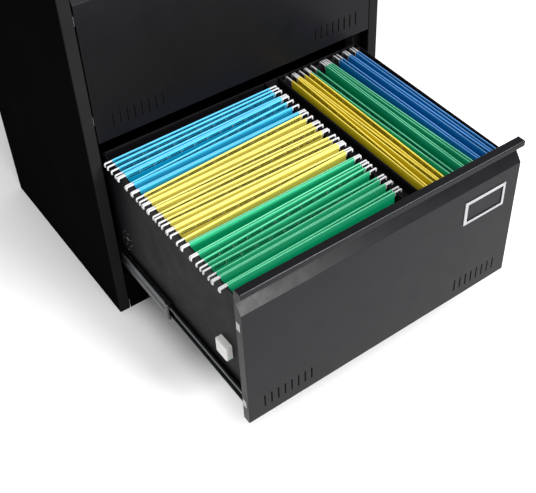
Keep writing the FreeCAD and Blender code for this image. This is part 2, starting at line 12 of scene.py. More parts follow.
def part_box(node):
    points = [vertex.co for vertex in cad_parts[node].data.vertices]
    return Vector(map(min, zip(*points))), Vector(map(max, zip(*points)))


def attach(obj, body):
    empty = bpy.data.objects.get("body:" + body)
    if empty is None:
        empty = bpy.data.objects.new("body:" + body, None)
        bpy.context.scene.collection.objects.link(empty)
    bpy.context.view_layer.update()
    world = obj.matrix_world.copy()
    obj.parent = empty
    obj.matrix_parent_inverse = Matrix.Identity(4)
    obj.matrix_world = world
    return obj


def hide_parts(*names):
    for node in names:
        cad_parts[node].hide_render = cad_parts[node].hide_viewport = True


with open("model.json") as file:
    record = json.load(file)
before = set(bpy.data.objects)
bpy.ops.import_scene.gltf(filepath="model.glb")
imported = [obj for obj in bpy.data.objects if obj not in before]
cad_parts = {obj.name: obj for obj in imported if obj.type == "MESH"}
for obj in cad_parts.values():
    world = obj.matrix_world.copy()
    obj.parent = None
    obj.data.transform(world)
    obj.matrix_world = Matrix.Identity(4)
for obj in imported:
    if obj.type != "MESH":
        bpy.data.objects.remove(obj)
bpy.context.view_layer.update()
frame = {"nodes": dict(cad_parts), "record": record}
nodes = frame["nodes"]
MM = 0.001


# ---------------------------------------------------------------- node materials

class Shader:
    """A material's node tree with short calls for the nodes that this scene uses."""

    def __init__(self, name, metallic=0.0, specular=0.5):
        self.material = bpy.data.materials.new(name)
        self.material.use_nodes = True
        self.tree = self.material.node_tree
        self.tree.nodes.clear()
        self.out = self.add("ShaderNodeOutputMaterial")
        self.bsdf = self.add("ShaderNodeBsdfPrincipled")
        self.link(self.bsdf.outputs["BSDF"], self.out.inputs["Surface"])
        self.bsdf.inputs["Metallic"].default_value = metallic
        self.bsdf.inputs["Specular IOR Level"].default_value = specular
        self.coords = self.add("ShaderNodeTexCoord").outputs["Object"]

    def add(self, kind, **props):
        node = self.tree.nodes.new(kind)
        for key, value in props.items():
            setattr(node, key, value)
        return node

    def link(self, a, b):
        self.tree.links.new(a, b)

    def stretched(self, scale):
        mapping = self.add("ShaderNodeMapping")
        mapping.inputs["Scale"].default_value = scale
        self.link(self.coords, mapping.inputs["Vector"])
        return mapping.outputs["Vector"]

    def noise(self, scale, detail=3.0, rough=0.55, vector=None):
        node = self.add("ShaderNodeTexNoise")
        node.inputs["Scale"].default_value = scale
        node.inputs["Detail"].default_value = detail
        node.inputs["Roughness"].default_value = rough
        self.link(vector or self.coords, node.inputs["Vector"])
        return node.outputs["Fac"]

    def ranged(self, value, low, high, to_low, to_high):
        node = self.add("ShaderNodeMapRange")
        limits = {"From Min": low, "From Max": high, "To Min": to_low, "To Max": to_high}
        for name, number in limits.items():
            node.inputs[name].default_value = number
        self.link(value, node.inputs["Value"])
        return node.outputs["Result"]

    def math(self, kind, a, b=0.0):
        node = self.add("ShaderNodeMath", operation=kind)
        for socket, value in zip(node.inputs, (a, b)):
            if isinstance(value, (int, float)):
                socket.default_value = value
            else:
                self.link(value, socket)
        return node.outputs[0]

    def mix(self, factor, a, b):
        node = self.add("ShaderNodeMix", data_type="RGBA")
        for socket, value in ((node.inputs["Factor"], factor), (node.inputs[6], a), (node.inputs[7], b)):
            if isinstance(value, (int, float)):
                socket.default_value = value
            elif isinstance(value, tuple):
                socket.default_value = (*value[:3], 1.0)
            else:
                self.link(value, socket)
        return node.outputs[2]

    def scaled(self, colour, factor):
        """A colour times a number that varies over the surface."""
        node = self.add("ShaderNodeVectorMath", operation="SCALE")
        if isinstance(colour, tuple):
            node.inputs[0].default_value = colour
        else:
            self.link(colour, node.inputs[0])
        self.link(factor, node.inputs["Scale"])
        return node.outputs[0]

    def rounded(self, radius):
        node = self.add("ShaderNodeBevel", samples=6)
        node.inputs["Radius"].default_value = radius
        return node.outputs["Normal"]

    def edges(self, normal, reach=0.12):
        """Near 1 on edges, where the rounded normal leaves the true one."""
        true = self.add("ShaderNodeNewGeometry").outputs["Normal"]
        dot = self.add("ShaderNodeVectorMath", operation="DOT_PRODUCT")
        self.link(normal, dot.inputs[0])
        self.link(true, dot.inputs[1])
        return self.ranged(dot.outputs["Value"], 1.0, 1.0 - reach, 0.0, 1.0)

    def bump(self, height, distance, normal=None):
        node = self.add("ShaderNodeBump")
        node.inputs["Distance"].default_value = distance
        self.link(height, node.inputs["Height"])
        if normal is not None:
            self.link(normal, node.inputs["Normal"])
        return node.outputs["Normal"]

    def finish(self, colour, normal=None, roughness=None):
        self.link(colour, self.bsdf.inputs["Base Color"])
        if normal is not None:
            self.link(normal, self.bsdf.inputs["Normal"])
        if roughness is not None:
            self.link(roughness, self.bsdf.inputs["Roughness"])
        return self.material


def powder_coat(name, colour, edge, roughness, specular, front=None):
    """Satin powder coat: fine orange peel, faint cloudy handling marks, edges lighter, partly from wear
    and partly as painted highlight.

    Where a second colour is given, faces turned to the front take it, and the darker first colour on the
    other faces is painted shade.
    """
    s = Shader(name, specular=specular)
    soft = s.rounded(1.1 * MM)
    cloud = s.noise(7.0, 4.0)
    tone = s.ranged(cloud, 0.3, 0.7, 0.9, 1.1)
    body = colour
    # Painted light and shade by facing: faces turned to the front take the second, lighter colour.
    if front is not None:
        split = s.add("ShaderNodeSeparateXYZ")
        s.link(soft, split.inputs[0])
        body = s.mix(s.ranged(split.outputs[1], -0.35, -0.9, 0.0, 1.0), colour, front)
    # Edges lighter: partly wear, partly painted highlight.
    rubbed_and_highlit = s.math("MULTIPLY", s.edges(soft), s.ranged(s.noise(60.0, 5.0), 0.35, 0.7, 0.25, 1.0))
    base = s.mix(s.math("MULTIPLY", rubbed_and_highlit, 0.55), s.scaled(body, tone), edge)
    peel = s.noise(900.0, 2.0)
    marks = s.noise(26.0, 6.0, 0.65)
    rough = s.ranged(marks, 0.3, 0.72, roughness - 0.05, roughness + 0.08)
    return s.finish(base, s.bump(peel, 0.05 * MM, soft), rough)


def bare_metal(name, colour, grain, roughness, metallic=1.0, dark=0.6):
    """Plated or brushed metal, with streaks along its length, dulled patches, and edges lighter as
    painted highlight.
    """
    s = Shader(name, metallic=metallic)
    soft = s.rounded(0.5 * MM)
    streak = s.noise(1.0, 4.0, 0.6, s.stretched(grain))
    patch = s.noise(45.0, 5.0)
    tone = s.math("MULTIPLY", s.ranged(streak, 0.3, 0.7, 0.8, 1.15), s.ranged(patch, 0.3, 0.7, dark, 1.0))
    # Edges lighter as painted highlight.
    edge = tuple(min(1.0, c * 2.6) for c in colour)
    base = s.mix(s.math("MULTIPLY", s.edges(soft), 0.6), s.scaled(colour, tone), edge)
    rough = s.ranged(streak, 0.3, 0.7, roughness - 0.06, roughness + 0.1)
    return s.finish(base, s.bump(streak, 0.03 * MM, soft), rough)


def moulded(name, colour, roughness, subsurface=0.0, specular=0.5):
    """Moulded plastic or rubber: a fine spark-eroded grain, soft edges, slight yellowing in patches."""
    s = Shader(name, specular=specular)
    s.bsdf.inputs["Subsurface Weight"].default_value = subsurface
    s.bsdf.inputs["Subsurface Scale"].default_value = 2.0 * MM
    soft = s.rounded(0.5 * MM)
    patch = s.noise(90.0, 4.0)
    base = s.scaled(colour, s.ranged(patch, 0.3, 0.7, 0.93, 1.05))
    grain = s.noise(2200.0, 2.0)
    rough = s.ranged(patch, 0.3, 0.7, roughness - 0.06, roughness + 0.06)
    return s.finish(base, s.bump(grain, 0.03 * MM, soft), rough)


# The slits for tabs in a hem: their pitch, and how many places there are from one joint to the next
SLIT_PITCH = 2.73 * MM
SLIT_GROUP = 10
SLIT_BAND_MIDDLE = 6.8 * MM
SLIT_BAND_HALF = 3.2 * MM
SLIT_GAP_HALF = 0.5 * MM
CREST_HIGHLIGHT_DEPTH = 1.6 * MM
HEM_HIGHLIGHT = (13.0 * MM, 8.0 * MM)
CARD_SHADE_DEPTH = (75.0 * MM, 12.0 * MM)


def card_stock(name, colour, shade, light, roughness=0.46):
    """Coated card: fibre grain, a hem lighter as painted highlight, pale ticks along the crest partly
    from perforation and partly painted highlight, slit rows darkened as painted shadow, and painted shade
    lower down.
    """
    s = Shader(name, specular=0.07)
    tone_in = s.add("ShaderNodeAttribute", attribute_name="tone").outputs["Fac"]
    slotted = s.add("ShaderNodeAttribute", attribute_name="slotted").outputs["Fac"]
    place = s.add("ShaderNodeUVMap", uv_map="strip").outputs["UV"]
    split = s.add("ShaderNodeSeparateXYZ")
    s.link(place, split.inputs[0])
    along, height = split.outputs[0], split.outputs[1]
    fibre = s.noise(420.0, 5.0, 0.6)
    cloud = s.noise(14.0, 4.0)
    tone = s.math("MULTIPLY", tone_in, s.ranged(cloud, 0.3, 0.7, 0.94, 1.06))
    tone = s.math("MULTIPLY", tone, s.ranged(fibre, 0.3, 0.7, 0.97, 1.03))

    # Deeper in the drawer the card is darker as painted shade; its folded hem is lighter as painted
    # highlight.
    base = s.mix(s.ranged(height, -CARD_SHADE_DEPTH[0], -CARD_SHADE_DEPTH[1], 0.0, 1.0), shade, colour)
    hem_highlight = s.ranged(height, -HEM_HIGHLIGHT[0], -HEM_HIGHLIGHT[1], 0.0, 1.0)
    base = s.mix(s.math("MULTIPLY", hem_highlight, 0.55), base, light)

    # Pale ticks along the crest, one for each slit: partly perforation, partly painted highlight
    pale_highlight_mark = tuple(0.5 * c + 0.4 for c in light)
    tick = s.math("PINGPONG", along, SLIT_PITCH / 2)
    tick = s.ranged(tick, SLIT_PITCH * 0.15, SLIT_PITCH * 0.35, 0.0, 1.0)
    crest = s.ranged(height, -CREST_HIGHLIGHT_DEPTH, -0.6 * MM, 0.0, 1.0)
    base = s.mix(s.math("MULTIPLY", s.math("MULTIPLY", tick, crest), 0.45), base, pale_highlight_mark)

    # The bars between slits are darkened as painted shadow, with a painted highlight at each joint.
    from_middle = s.math("ABSOLUTE", s.math("ADD", height, SLIT_BAND_MIDDLE))
    rows = s.math("LESS_THAN", from_middle, SLIT_BAND_HALF)
    outside_gap = s.math("GREATER_THAN", from_middle, SLIT_GAP_HALF)
    bars = s.math("MULTIPLY", s.math("MULTIPLY", rows, slotted), outside_gap)
    base = s.mix(s.math("MULTIPLY", bars, 0.6), base, tuple(0.15 * c for c in shade))
    joint = s.math("PINGPONG", along, SLIT_PITCH * SLIT_GROUP / 2)
    joint = s.math("MULTIPLY", s.math("LESS_THAN", joint, 0.6 * MM), slotted)
    base = s.mix(s.math("MULTIPLY", s.math("MULTIPLY", joint, rows), 0.75), base, pale_highlight_mark)

    normal = s.bump(fibre, 0.04 * MM)
    rough = s.ranged(fibre, 0.3, 0.7, roughness - 0.05, roughness + 0.07)
    return s.finish(s.scaled(base, tone), normal, rough)


# The cabinet's sides are near black as painted shade; faces turned to the front take the lighter colour.
CABINET_SHADED_SIDES = powder_coat("cabinet_coat_shaded_sides", (0.0034, 0.0034, 0.0036), (0.030, 0.030, 0.032), 0.6, 0.0,
                      (0.013, 0.013, 0.0135))
# The kick plate: the cabinet's coat made darker, as painted shadow under the open drawer.
KICK_SHADED = powder_coat("kick_coat_shaded", (0.0022, 0.0022, 0.0024), (0.010, 0.010, 0.011), 0.6, 0.0)
FRONTS = powder_coat("front_coat", (0.0052, 0.0049, 0.0060), (0.035, 0.035, 0.038), 0.32, 0.085)
TRAY = powder_coat("tray_coat", (0.0078, 0.0068, 0.0082), (0.03, 0.03, 0.032), 0.5, 0.05)
FRAME = powder_coat("frame_primer", (0.05, 0.052, 0.055), (0.16, 0.16, 0.16), 0.5, 0.3)
SLIDE = bare_metal("slide_zinc", (0.10, 0.105, 0.11), (900.0, 6.0, 900.0), 0.30)
SCREW = bare_metal("screw_zinc", (0.42, 0.42, 0.42), (500.0, 500.0, 500.0), 0.3)
LABEL = bare_metal("label_satin", (0.36, 0.36, 0.38), (30.0, 300.0, 700.0), 0.36, 0.75, 0.85)
CHROME = bare_metal("lock_chrome", (0.62, 0.62, 0.63), (400.0, 400.0, 400.0), 0.16)
BLACK = moulded("stop_plastic", (0.008, 0.008, 0.009), 0.28)
FOOT = moulded("foot_plastic", (0.012, 0.012, 0.012), 0.5)
NYLON = moulded("block_nylon", (0.60, 0.60, 0.575), 0.42, 0.25)
# Near-black sheets that stand in for the shade behind the vent slots.
VENT_SHADE = moulded("vent_painted_shade", (0.003, 0.003, 0.003), 0.85, 0.0, 0.03)
# A much paler copy of the front's coat: painted highlight on the lip's fold and the side's dimples.
CREASE_HIGHLIGHT = powder_coat("crease_coat_highlight", (0.10, 0.105, 0.11), (0.3, 0.3, 0.3), 0.3, 0.6)
PAD = moulded("pad_foam", (0.42, 0.42, 0.44), 0.75, 0.0, 0.2)
HOOK = moulded("hook_coat", (0.55, 0.55, 0.565), 0.38, 0.05)
# Near-black strips behind the slits: painted shade inside the hems.
ROD_SHADE = moulded("rod_strip_painted_shade", (0.003, 0.003, 0.003), 0.5, 0.0, 0.08)

CAD_MATERIALS = {
    "cabinet_paint": CABINET_SHADED_SIDES, "drawer_paint": TRAY, "frame_steel": FRAME, "slide_steel": SLIDE,
    "fastener_steel": SCREW, "black_plastic": BLACK, "white_nylon": NYLON, "pad_grey": PAD,
    "label_metal": LABEL, "lock_metal": CHROME,
}
OWN_MATERIALS = {
    "lower_drawer_front": FRONTS, "upper_drawer_front": FRONTS, "levelling_glides": FOOT,
    "kick_plate": KICK_SHADED,
}


def dress_cad_nodes():
    slots = {p["node"]: p["material_slot"] for p in frame["record"]["subparts"]}
    for name, node in nodes.items():
        material = OWN_MATERIALS.get(name) or CAD_MATERIALS.get(slots[name])
        if material is None:
            continue
        node.data.materials.clear()
        node.data.materials.append(material)


# ---------------------------------------------------------------- meshes

def islands(node, bay):
    """Each separate solid in a CAD node, as its vertices, in order across its bay."""
    mesh = bmesh.new()
    mesh.from_mesh(node.data)
    bmesh.ops.remove_doubles(mesh, verts=mesh.verts, dist=1e-6)
    seen, found = set(), []
    for start in mesh.verts:
        if start in seen:
            continue
        stack, island = [start], []
        seen.add(start)
        while stack:
            vert = stack.pop()
            island.append(vert.co.copy())
            for edge in vert.link_edges:
                other = edge.other_vert(vert)
                if other not in seen:
                    seen.add(other)
                    stack.append(other)
        found.append(island)
    mesh.free()
    return sorted(found, key=lambda island: sum(c[bay["across"]] for c in island) / len(island))


def end_spans(island, bay):
    """Where a solid begins and ends along its bay, and its reach across the bay at each end."""
    along, across = bay["along"], bay["across"]
    ends = (min(c[along] for c in island), max(c[along] for c in island))
    top = max(c.z for c in island)
    spans = []
    for end in ends:
        near = [c[across] for c in island if abs(c[along] - end) < 1.5 * MM and c.z > top - 4 * MM]
        spans.append((min(near), max(near)))
    return ends, spans


def new_object(name, mesh, materials, body):
    data = bpy.data.meshes.new(name)
    mesh.to_mesh(data)
    mesh.free()
    piece = bpy.data.objects.new(name, data)
    bpy.context.scene.collection.objects.link(piece)
    for material in materials:
        data.materials.append(material)
    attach(piece, body)
    return piece


def smooth_by_angle(piece, degrees):
    for polygon in piece.data.polygons:
        polygon.use_smooth = True
    piece.data.set_sharp_from_angle(angle=math.radians(degrees))


# ---------------------------------------------------------------- hanging folders

CARD_T = 0.34 * MM
HEM_HALF = 0.9 * MM
CAD_HEM_HALF = 1.1 * MM
HEM_DEEP = 13.0 * MM
FLAP_LEN = 21.0 * MM
SLIT_LEN = 2.2 * MM
SLIT_ROWS = ((-3.7 * MM, -6.3 * MM), (-7.3 * MM, -9.9 * MM))
SLIT_MARGIN = 4.0 * MM
BAYS = {
    "left": {"along": 0, "across": 1, "body": "left_folders", "facing": -1},
    "right": {"along": 1, "across": 0, "body": "right_folders", "facing": -1},
}
# For every folder, across its bay: whether its near and its far side have slits for tabs in the
# hem that faces the drawer's front or left.
SLITS = {
    ("left", "green"): ("nY", "nn", "nY", "nY", "nY", "nY"),
    ("left", "yellow"): ("nY", "nn", "nY", "nY", "nY", "nn", "nY"),
    ("left", "blue"): ("nn", "nY", "Yn", "nY", "YY"),
    ("right", "yellow"): ("nY", "nY", "nY"),
    ("right", "green"): ("nY", "nY", "nY"),
    ("right", "blue"): ("nY", "nY", "nY"),
}


def bay_point(bay, along, across, height):
    point = [0.0, 0.0, height]
    point[bay["along"]] = along
    point[bay["across"]] = across
    return Vector(point)


def offsets(profile, thick):
    """Half the sheet's thickness, square to its profile, at each point of it."""
    found = []
    for i in range(len(profile)):
        before = profile[max(i - 1, 0)]
        after = profile[min(i + 1, len(profile) - 1)]
        tangent = Vector((after[0] - before[0], after[1] - before[1])).normalized()
        found.append(Vector((-tangent.y, tangent.x)) * thick / 2)
    return found


def lay_strip(mesh, layers, bay, stations, profiles, tone, bow, thick, holes=()):
    """A thick sheet swept along the bay between its profiles at the two ends.

    A profile is a list of (across, height, height from the crest) from edge to edge.
    """
    uv_layer, tone_layer, slot_layer = layers
    squares = [offsets(profile, thick) for profile in profiles]
    length = stations[-1] - stations[0]
    skins = []
    for sign in (1, -1):
        rows = []
        for i in range(len(profiles[0])):
            row = []
            for s in stations:
                share = (s - stations[0]) / length
                start, end = profiles[0][i], profiles[1][i]
                square = squares[0][i].lerp(squares[1][i], share) * sign
                height = start[1] + (end[1] - start[1]) * share
                across = start[0] + (end[0] - start[0]) * share + bow(share, height)
                row.append(mesh.verts.new(bay_point(bay, s, across + square.x, height + square.y)))
            rows.append(row)
        skins.append(rows)
    count, width = len(profiles[0]) - 1, len(stations) - 1

    def face(corners, skin):
        made = mesh.faces.new([skins[k][i][j] for k, i, j in skin])
        for loop, (i, j) in zip(made.loops, corners):
            loop[uv_layer].uv = (stations[j] - stations[0], profiles[0][i][2])
            loop.vert[tone_layer] = tone
            loop.vert[slot_layer] = 1.0 if holes else 0.0

    def is_open(i, j):
        return i < 0 or j < 0 or i >= count or j >= width or (i, j) in holes

    for i in range(count):
        for j in range(width):
            if (i, j) in holes:
                continue
            corners = [(i, j), (i, j + 1), (i + 1, j + 1), (i + 1, j)]
            face(corners, [(0, a, b) for a, b in corners])
            face(corners[::-1], [(1, a, b) for a, b in corners[::-1]])
            beyond = [(i - 1, j), (i, j + 1), (i + 1, j), (i, j - 1)]
            for k in range(4):
                if is_open(*beyond[k]):
                    a, b = corners[k], corners[(k + 1) % 4]
                    face([b, a, a, b], [(0, *b), (0, *a), (1, *a), (1, *b)])


def hem_heights():
    """Heights below the crest where a hem's profile turns or a row of slits begins and ends."""
    heights = [-1.2 * MM]
    for high_edge, low_edge in SLIT_ROWS:
        heights += [high_edge, low_edge]
    return heights + [-HEM_DEEP]


def panel_profile(rod, middle, crest, foot, side):
    """A card side: its inner edge of the crest, over the rod, down the hem, then to the fold."""
    outer = rod + side * HEM_HALF
    points = [
        (rod - side * HEM_HALF, crest - 1.1 * MM), (rod - side * HEM_HALF * 0.75, crest - 0.3 * MM),
        (rod, crest), (rod + side * HEM_HALF * 0.75, crest - 0.3 * MM),
    ]
    points += [(outer, crest + h) for h in hem_heights()]
    end = middle + side * 0.45 * MM
    steps = 9
    for i in range(1, steps + 1):
        t = i / steps
        points.append((outer + (end - outer) * t, crest - HEM_DEEP + (foot - crest + HEM_DEEP) * t))
    return [(a, z, z - crest) for a, z in points]


def flap_profile(rod, middle, crest, foot, side):
    """The hem's inner flap: from the crest's inner edge down behind the rod."""
    inner = rod - side * HEM_HALF
    slope = (middle - rod) / (crest - HEM_DEEP - foot)
    points = []
    for h in hem_heights() + [-FLAP_LEN]:
        lean = slope * max(0.0, -h - HEM_DEEP)
        points.append((inner + lean, crest + h, h))
    return points


def slit_stations(ends):
    """Stations that bound every slit, and the numbers of the cells that are cut out."""
    length = ends[1] - ends[0]
    count = int((length - 2 * SLIT_MARGIN) / SLIT_PITCH)
    first = ends[0] + (length - (count - 1) * SLIT_PITCH - SLIT_LEN) / 2
    stations, open_cells = [ends[0]], []
    for i in range(count):
        start = first + i * SLIT_PITCH
        if i % SLIT_GROUP == SLIT_GROUP - 1:
            continue
        open_cells.append(len(stations))
        stations += [start, start + SLIT_LEN]
    return stations + [ends[1]], open_cells


def make_folders(bay_name, colour, material, seed):
    bay = BAYS[bay_name]
    node = nodes[f"{bay_name}_{colour}_folders"]
    rng = random.Random(seed)
    mesh = bmesh.new()
    floats = mesh.verts.layers.float
    layers = (mesh.loops.layers.uv.new("strip"), floats.new("tone"), floats.new("slotted"))
    foremost = (bay_name, colour) == ("left", "green")
    for order, (island, slits) in enumerate(zip(islands(node, bay), SLITS[(bay_name, colour)])):
        ends, spans = end_spans(island, bay)
        crest = max(c.z for c in island) - CARD_T / 2
        foot = min(c.z for c in island) + CARD_T
        rods = [[span[k] - (-1, 1)[k] * CAD_HEM_HALF for span in spans] for k in (0, 1)]
        middles = [(near + far) / 2 for near, far in zip(*rods)]
        slit_stops, open_cells = slit_stations(ends)
        plain_stops = [ends[0] + (ends[1] - ends[0]) * i / 24 for i in range(25)]
        for rod, side, slit in zip(rods, (-1, 1), slits):
            phase = rng.uniform(0, 6.28)
            spread = min(abs(rods[1][0] - rods[0][0]), abs(rods[1][1] - rods[0][1]))
            push = rng.uniform(-0.3, 0.8) * MM * min(1.0, spread / (12 * MM))
            # The front-most green panel is made lighter as painted light.
            tone = rng.uniform(0.88, 1.08) * (1.35 if foremost and order == 0 and side < 0 else 1.0)
            bend = rng.uniform(-0.7, 0.7) * MM * min(1.0, spread / (8 * MM))

            def bow(share, height):
                deep = max(0.0, min(1.0, (crest - HEM_DEEP - height) / (crest - HEM_DEEP - foot)))
                wave = math.sin(share * 4.0 + phase) * 0.35 * MM
                sag = bend * math.sin(math.pi * share)
                return sag - side * (push + wave) * math.sin(math.pi * deep) * min(1.0, spread / (8 * MM))

            for shape, faces_out in ((panel_profile, side), (flap_profile, -side)):
                profiles = [shape(r, m, crest, foot, side) for r, m in zip(rod, middles)]
                cut = slit == "Y" and faces_out == bay["facing"]
                first_row = 4 if shape is panel_profile else 0
                holes = {(first_row + row, cell) for row in (1, 3) for cell in open_cells}
                thick = CARD_T if shape is panel_profile else CARD_T * 0.8
                lay_strip(mesh, layers, bay, slit_stops if cut else plain_stops, profiles, tone,
                          bow, thick, holes if cut else ())
    bmesh.ops.recalc_face_normals(mesh, faces=mesh.faces)
    piece = new_object(f"{bay_name}_{colour}_cards", mesh, [material], bay["body"])
    smooth_by_angle(piece, 50)
    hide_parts(node.name)
    return piece


RAIL_BELOW_HOOK = 3.2 * MM
HOOK_ARM = (
    # distance in from the hook's end, height above the rail's top, in millimetres
    (3.7, 0.3), (3.0, -0.5), (2.9, -4.7), (2.2, -5.5), (1.0, -5.5), (0.3, -4.7), (0.05, -1.0),
    (0.25, 1.0), (1.0, 2.5), (2.4, 3.2),
)
STRIP_HALF = 0.5 * MM
STRIP_HEIGHTS = (-8.0 * MM, 2.6 * MM)


def extrude_outline(mesh, foot, along, square, outline, half):
    """A closed outline of (distance along, height), given a thickness both ways from its plane."""
    sides = []
    for sign in (-1, 1):
        spots = [foot + along * d + square * half * sign + Vector((0, 0, z)) for d, z in outline]
        sides.append([mesh.verts.new(spot) for spot in spots])
    mesh.faces.new(sides[0])
    mesh.faces.new(sides[1][::-1])
    for i in range(len(outline)):
        j = (i + 1) % len(outline)
        mesh.faces.new((sides[0][i], sides[1][i], sides[1][j], sides[0][j]))


def make_rods(bay_name):
    """White-coated hooks, rounded at every edge, on flat near-black strips that darken the slits as
    painted shade.
    """
    bay = BAYS[bay_name]
    along, across = bay["along"], bay["across"]
    node = nodes[f"{bay_name}_folder_rods"]
    card_lo, card_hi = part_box(f"{bay_name}_yellow_folders")
    hooks, strips = bmesh.new(), bmesh.new()
    for island in islands(node, bay):
        ends, spans = end_spans(island, bay)
        rail = max(c.z for c in island) - RAIL_BELOW_HOOK
        tips = [bay_point(bay, end, sum(span) / 2, rail) for end, span in zip(ends, spans)]
        inward = (tips[1] - tips[0]).normalized()
        square = inward.cross(Vector((0, 0, 1)))
        card_edges = (card_lo[along], card_hi[along])
        for k in (0, 1):
            root = (abs(card_edges[k] - ends[k]) - 0.1 * MM) / MM
            footed = k == 1 or bay_name == "right"
            low = -6.5 if footed else 0.3
            outline = [(d * MM, z * MM) for d, z in HOOK_ARM]
            outline += [(root * MM, 3.2 * MM), (root * MM, low * MM)]
            if footed:
                outline += [((root - 1.9) * MM, low * MM), ((root - 2.3) * MM, 0.3 * MM)]
            extrude_outline(hooks, tips[k], inward * (1, -1)[k], square, outline, 1.0 * MM)
        start = (card_edges[0] - ends[0] - 0.4 * MM)
        stop = (tips[1] - tips[0]).length - (ends[1] - card_edges[1] - 0.4 * MM)
        low, high = STRIP_HEIGHTS
        outline = [(start, low), (stop, low), (stop, high), (start, high)]
        extrude_outline(strips, tips[0], inward, square, outline, STRIP_HALF)
    for mesh in (hooks, strips):
        bmesh.ops.recalc_face_normals(mesh, faces=mesh.faces)
    bmesh.ops.bevel(hooks, geom=[e for e in hooks.edges if e.calc_face_angle(0) > 1.2],
                    offset=0.45 * MM, segments=2, profile=0.6, affect="EDGES", clamp_overlap=True)
    bmesh.ops.bevel(strips, geom=list(strips.edges), offset=0.12 * MM, segments=1, affect="EDGES")
    piece = new_object(f"{bay_name}_hooks", hooks, [HOOK], bay["body"])
    smooth_by_angle(piece, 45)
    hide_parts(node.name)
    new_object(f"{bay_name}_rod_strips", strips, [ROD_SHADE], bay["body"])


# The marks on the lower drawer's left side: places as (depth, height), domes as (radius, height)
ROSETTE_PLACE = (-0.2465, 0.196)
ROSETTE_RING = 16.0 * MM
ROSETTE_COUNT = 8
DIMPLE = (1.2 * MM, 0.6 * MM)
BOSS = (4.5 * MM, 0.4 * MM)
RIVET_PLACE = (-0.2430, 0.1660)
RIVET_HEAD = (1.3 * MM, 0.6 * MM)
DOME_SIDES = 16
CREASE_ENDS = (1.5 * MM, 1.5 * MM)
CREASE_BACK = 1.0 * MM


def dome(mesh, centre, radius, height):
    """A pressed dome standing out to the left of a side wall, its rim eased into the sheet."""
    rings = ((1.0, -0.1), (0.94, 0.25), (0.72, 0.7), (0.38, 0.94))
    loops = []
    for share, rise in rings:
        loop = []
        for i in range(DOME_SIDES):
            angle = math.tau * i / DOME_SIDES
            side = Vector((0.0, math.cos(angle), math.sin(angle))) * radius * share
            loop.append(mesh.verts.new(centre + side - Vector((height * rise, 0, 0))))
        loops.append(loop)
    for inner, outer in zip(loops[1:], loops):
        for i in range(DOME_SIDES):
            j = (i + 1) % DOME_SIDES
            mesh.faces.new((outer[i], outer[j], inner[j], inner[i]))
    mesh.faces.new(loops[-1])


def make_side_marks():
    """The ring of pressed dimples and the rivet on the lower drawer's left side."""
    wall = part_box("lower_drawer_left_side")[0].x
    centre = Vector((wall, *ROSETTE_PLACE))
    mesh = bmesh.new()
    for i in range(ROSETTE_COUNT):
        angle = math.tau * (i + 0.4) / ROSETTE_COUNT
        spot = Vector((0.0, math.cos(angle), math.sin(angle))) * ROSETTE_RING
        dome(mesh, centre + spot, *DIMPLE)
    dome(mesh, centre, *BOSS)
    bmesh.ops.recalc_face_normals(mesh, faces=mesh.faces)
    # The dimples and boss take the pale coat as painted highlight.
    smooth_by_angle(new_object("left_side_rosette", mesh, [CREASE_HIGHLIGHT], "lower_drawer"), 60)
    mesh = bmesh.new()
    dome(mesh, Vector((wall, *RIVET_PLACE)), *RIVET_HEAD)
    bmesh.ops.recalc_face_normals(mesh, faces=mesh.faces)
    smooth_by_angle(new_object("left_side_rivet", mesh, [SCREW], "lower_drawer"), 60)


def make_lip_crease():
    """The fine raised fold along the top of the lower front's lip, in a paler coat as painted highlight.
    """
    lo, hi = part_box("lower_drawer_front")
    mesh = bmesh.new()
    section = ((-0.4, -0.1), (-0.28, 0.12), (0.0, 0.2), (0.28, 0.12), (0.4, -0.1))
    loops = []
    for i in range(61):
        share = i / 60
        x = lo.x + CREASE_ENDS[0] + (hi.x - lo.x - CREASE_ENDS[0] - CREASE_ENDS[1]) * share
        ease = min(1.0, 12 * share, 12 * (1 - share)) * MM
        y = lo.y + CREASE_BACK + math.sin(share * 5.0) * 0.12 * MM
        loops.append([mesh.verts.new((x, y + a * MM, hi.z + b * ease)) for a, b in section])
    for one, other in zip(loops, loops[1:]):
        for k in range(len(section) - 1):
            mesh.faces.new((one[k], one[k + 1], other[k + 1], other[k]))
    mesh.faces.new(loops[0])
    mesh.faces.new(loops[-1])
    bmesh.ops.recalc_face_normals(mesh, faces=mesh.faces)
    smooth_by_angle(new_object("lower_lip_crease", mesh, [CREASE_HIGHLIGHT], "lower_drawer"), 60)


# Dark sheets of painted shade behind the vent slots: half size, corner, distance in from the front's end,
# and place
VENT_SHADE_HALF = (52.0 * MM, 19.0 * MM)
VENT_SHADE_CORNER = 5.0 * MM
VENT_SHADE_FROM_END = 79.5 * MM
VENT_SHADE_HEIGHT = 36.4 * MM
VENT_SHADE_BACK = 3.6 * MM
VENT_SHADE_SECTION = ((0.0, 1.6), (0.5, 0.3), (1.1, 0.0), (1.6, 1.2))


